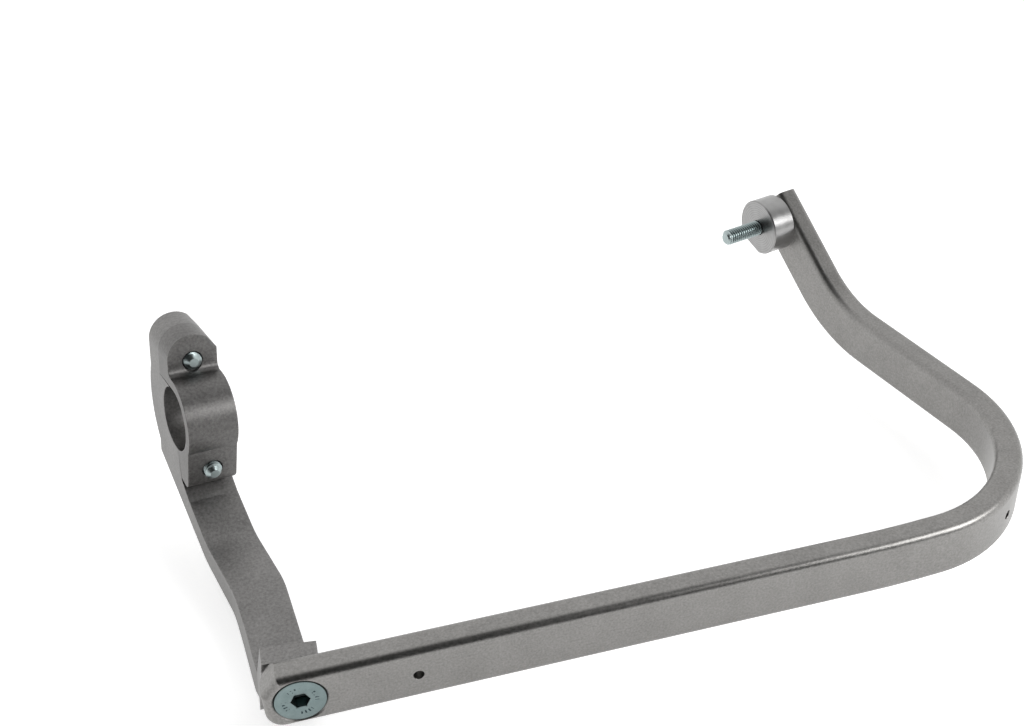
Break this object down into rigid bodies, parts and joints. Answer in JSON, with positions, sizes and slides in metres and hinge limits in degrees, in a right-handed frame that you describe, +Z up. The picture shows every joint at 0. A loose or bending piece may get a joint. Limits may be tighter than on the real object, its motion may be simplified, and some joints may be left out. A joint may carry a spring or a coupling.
{
  "type": "motorcycle hand guard",
  "caption": "Flat aluminium bar bent round the rider's hand, with a cranked arm and split clamp for the handlebar and a spacer and bolt for its open end",
  "frame": {"origin": "centre of the handlebar bore in the clamp, at mid width", "axes": "+X outboard along the front run, +Y back towards the rider, +Z up"},
  "size_m": [0.2855, 0.176, 0.0738],
  "materials": {
    "bar_aluminium": "blasted, uncoated",
    "cast_aluminium": "blasted casting with machined flats",
    "turned_aluminium": "turned, bright",
    "zinc_steel": "blue zinc plated"
  },
  "bodies": {
    "root": {"backbone": "bar_aluminium", "clamp_arm": "cast_aluminium", "clamp_saddle": "cast_aluminium", "clamp_screw_upper": "zinc_steel", "clamp_screw_lower": "zinc_steel", "joint_screw": "zinc_steel", "bar_end_spacer": "turned_aluminium", "bar_end_bolt": "zinc_steel"}
  },
  "joints": []
}
